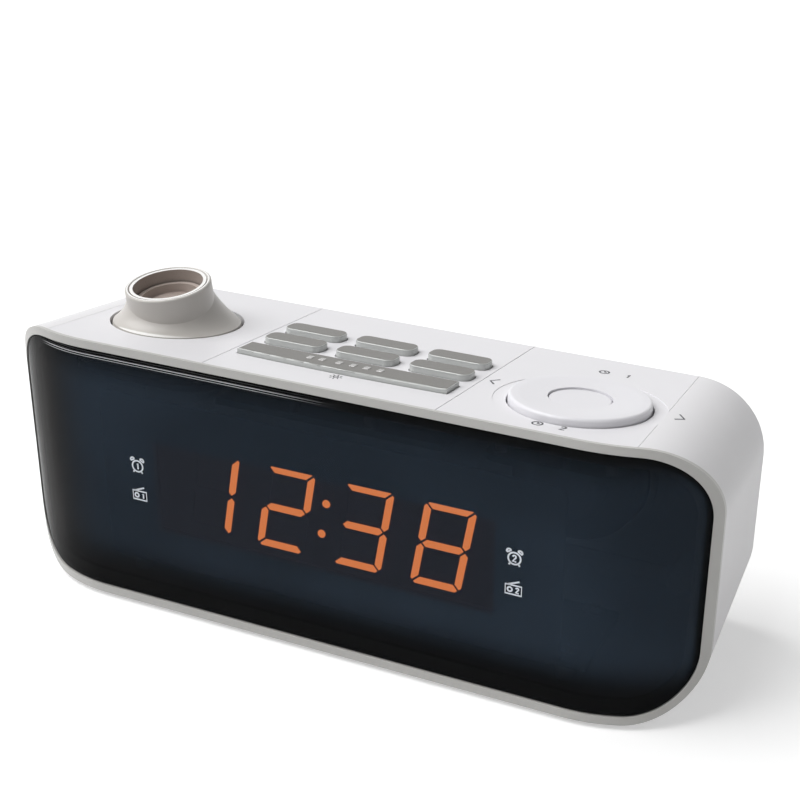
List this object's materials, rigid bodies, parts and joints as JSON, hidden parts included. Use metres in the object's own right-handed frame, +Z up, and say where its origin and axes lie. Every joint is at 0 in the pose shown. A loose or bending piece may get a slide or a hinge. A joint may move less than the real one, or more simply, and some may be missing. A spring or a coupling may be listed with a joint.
{
  "type": "projection alarm clock",
  "caption": "Wide clock with a curved smoked front over a segment display, keys, a rocker disc and a snooze bar on its sloping top, and a swivelling, tilting time projector.",
  "frame": {"origin": "centre of the footprint on the surface the clock stands on", "axes": "+X to the clock's right as seen from its front, -Y to the front with the display, +Z up"},
  "size_m": [0.188, 0.062, 0.0809],
  "materials": {
    "shell_light": "satin moulded plastic",
    "panel_light": "satin moulded plastic",
    "rim_grey": "satin",
    "window_smoked": "glossy smoked acrylic",
    "key_silver": "metallic-silver plastic",
    "disc_light": "satin moulded plastic",
    "projector_grey": "satin",
    "ring_grey": "satin",
    "lens_clear": "polished",
    "slide_dark": "gloss",
    "led_red": "gloss",
    "segment_orange": "lit from behind",
    "segment_dark": "unlit",
    "display_black": "matte",
    "board_green": "solder mask",
    "switch_black": "matte",
    "steel_bright": "bright",
    "steel_dark": "black zinc",
    "cone_black": "pressed paper",
    "capacitor_sleeve": "shrink sleeve",
    "socket_black": "moulded",
    "rubber_feet": "matte"
  },
  "bodies": {
    "case": {"housing_shell": "shell_light", "front_bezel": "rim_grey", "front_window": "window_smoked", "projector_panel": "panel_light", "key_panel": "panel_light", "dial_panel": "panel_light", "rear_cover": "shell_light", "cover_screws": "steel_bright", "front_feet": "rubber_feet", "rear_feet": "rubber_feet", "key_board": "board_green", "key_switches": "switch_black", "dial_board": "board_green", "dial_switches": "switch_black", "projector_clamp": "projector_grey", "display_mask": "display_black", "display_block": "display_black", "segments_lit": "segment_orange", "segments_dark": "segment_dark", "colon_dots": "segment_orange", "display_board": "board_green", "main_board": "board_green", "board_screws": "steel_bright", "main_chips": "switch_black", "capacitors": "capacitor_sleeve", "speaker_frame": "steel_dark", "speaker_cone": "cone_black", "speaker_magnet": "steel_dark", "dc_jack": "socket_black", "antenna_gland": "socket_black", "cell_holder": "switch_black", "coin_cell": "steel_bright"},
    "key_back_left": {"key_back_left": "key_silver"},
    "key_back_middle": {"key_back_middle": "key_silver"},
    "key_back_right": {"key_back_right": "key_silver"},
    "key_front_left": {"key_front_left": "key_silver"},
    "key_front_middle": {"key_front_middle": "key_silver"},
    "key_front_right": {"key_front_right": "key_silver"},
    "snooze": {"snooze_bar": "key_silver"},
    "rocker_web": {"rocker_spring": "steel_bright"},
    "disc": {"rocker_disc": "disc_light"},
    "button": {"centre_button": "disc_light"},
    "turntable": {"projector_turntable": "projector_grey"},
    "head": {"projector_head": "projector_grey", "projector_slide": "slide_dark", "projector_board": "board_green", "projector_led": "led_red"},
    "focus": {"focus_ring": "ring_grey"},
    "lens": {"lens_cell": "ring_grey", "projection_lens": "lens_clear"},
    "door": {"battery_door": "shell_light"}
  },
  "joints": [
    {"name": "key_back_left_press", "type": "slide", "parent": "case", "child": "key_back_left", "axis": [0, -0.1122, -0.9937], "range_m": [0, 0.0006], "stiffness_N_per_m": 300, "springref_m": -0.002},
    {"name": "key_back_middle_press", "type": "slide", "parent": "case", "child": "key_back_middle", "axis": [0, -0.1122, -0.9937], "range_m": [0, 0.0006], "stiffness_N_per_m": 300, "springref_m": -0.002},
    {"name": "key_back_right_press", "type": "slide", "parent": "case", "child": "key_back_right", "axis": [0, -0.1122, -0.9937], "range_m": [0, 0.0006], "stiffness_N_per_m": 300, "springref_m": -0.002},
    {"name": "key_front_left_press", "type": "slide", "parent": "case", "child": "key_front_left", "axis": [0, -0.1122, -0.9937], "range_m": [0, 0.0006], "stiffness_N_per_m": 300, "springref_m": -0.002},
    {"name": "key_front_middle_press", "type": "slide", "parent": "case", "child": "key_front_middle", "axis": [0, -0.1122, -0.9937], "range_m": [0, 0.0006], "stiffness_N_per_m": 300, "springref_m": -0.002},
    {"name": "key_front_right_press", "type": "slide", "parent": "case", "child": "key_front_right", "axis": [0, -0.1122, -0.9937], "range_m": [0, 0.0006], "stiffness_N_per_m": 300, "springref_m": -0.002},
    {"name": "snooze_press", "type": "slide", "parent": "case", "child": "snooze", "axis": [0, -0.1122, -0.9937], "range_m": [0, 0.0006], "stiffness_N_per_m": 600, "springref_m": -0.002},
    {"name": "rocker_fore_aft", "type": "hinge", "parent": "case", "child": "rocker_web", "pos_m": [0.056, -0.00738, 0.06782], "axis": [1, 0, 0], "range_deg": [-2.5, 2.5], "stiffness_Nm_per_rad": 0.3},
    {"name": "rocker_sideways", "type": "hinge", "parent": "rocker_web", "child": "disc", "pos_m": [0.056, -0.00738, 0.06782], "axis": [0, 0.9937, -0.1122], "range_deg": [-2.5, 2.5], "stiffness_Nm_per_rad": 0.3},
    {"name": "centre_button_press", "type": "slide", "parent": "disc", "child": "button", "axis": [0, -0.1122, -0.9937], "range_m": [0, 0.0006], "stiffness_N_per_m": 300, "springref_m": -0.002},
    {"name": "projector_swivel", "type": "hinge", "parent": "case", "child": "turntable", "pos_m": [-0.0552, -0.00318, 0.06483], "axis": [0, 0.1122, 0.9937], "range_deg": [-90, 90]},
    {"name": "projector_tilt", "type": "hinge", "parent": "turntable", "child": "head", "pos_m": [-0.0552, -0.00318, 0.06483], "axis": [0.9613, -0.2739, 0.0309], "range_deg": [-28, 2]},
    {"name": "focus_turn", "type": "hinge", "parent": "head", "child": "focus", "pos_m": [-0.0552, -0.00318, 0.06483], "axis": [-0.0587, -0.0939, 0.9939], "range_deg": [-60, 60]},
    {"name": "lens_slide", "type": "slide", "parent": "head", "child": "lens", "axis": [-0.0587, -0.0939, 0.9939], "range_m": [-0.00052, 0.00052]},
    {"name": "battery_door_hinge", "type": "hinge", "parent": "case", "child": "door", "pos_m": [0, 0.00314, 0.0039], "axis": [-1, 0, 0], "range_deg": [0, 75]}
  ],
  "couplings": [
    {"joint": "focus_turn", "follows": "lens_slide", "rad_per_m": 2000}
  ]
}
